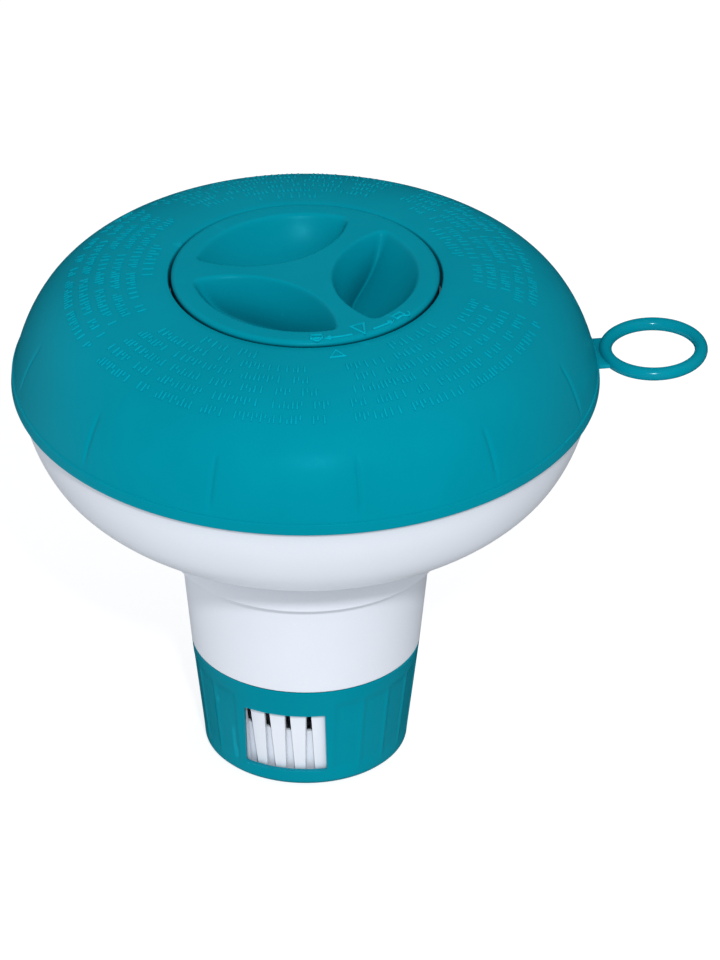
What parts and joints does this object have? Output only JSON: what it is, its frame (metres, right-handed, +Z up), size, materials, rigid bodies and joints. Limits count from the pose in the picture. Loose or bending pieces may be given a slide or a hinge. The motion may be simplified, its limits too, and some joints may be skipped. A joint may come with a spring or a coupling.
{
  "type": "floating chlorine dispenser",
  "caption": "Mushroom-shaped floating pool dispenser with a screw closure, hollow float, tablet tube, turning flow dial at the foot and a tether loop.",
  "frame": {"origin": "centre of the flat bottom of the flow dial, on the axis of the float", "axes": "+Z up along the float's axis, -Y towards the window in the flow dial, tether loop towards +X (8 degrees towards +Y)"},
  "size_m": [0.1954, 0.165, 0.1522],
  "materials": {
    "dome_plastic": "semi-gloss moulded polypropylene, teal",
    "bowl_plastic": "semi-gloss moulded polypropylene, cool white",
    "tube_plastic": "semi-gloss moulded polypropylene, cool white",
    "floor_plastic": "moulded polypropylene, cool white",
    "dial_plastic": "semi-gloss moulded polypropylene, teal",
    "cap_plastic": "semi-gloss moulded polypropylene, teal",
    "cap_seal_rubber": "matt black",
    "well_seal_rubber": "matt black",
    "neck_seal_rubber": "matt black"
  },
  "bodies": {
    "float": {"dome_shell": "dome_plastic", "float_bowl": "bowl_plastic", "tablet_tube": "tube_plastic", "tube_floor": "floor_plastic", "well_seal": "well_seal_rubber", "neck_seal": "neck_seal_rubber"},
    "cap_carrier": {"cap_seal": "cap_seal_rubber"},
    "cap": {"screw_cap": "cap_plastic"},
    "dial": {"flow_dial": "dial_plastic"}
  },
  "joints": [
    {"name": "cap_lift", "type": "slide", "parent": "float", "child": "cap_carrier", "axis": [0, 0, 1], "range_m": [0, 0.018]},
    {"name": "cap_turn", "type": "hinge", "parent": "cap_carrier", "child": "cap", "pos_m": [0, 0, 0.15], "axis": [0, 0, 1], "range_deg": [0, 270]},
    {"name": "dial_turn", "type": "hinge", "parent": "float", "child": "dial", "pos_m": [0, 0, 0.016], "axis": [0, 0, 1], "range_deg": [0, 60]}
  ],
  "couplings": [
    {"joint": "cap_lift", "follows": "cap_turn", "m_per_rad": 0.0038197}
  ]
}
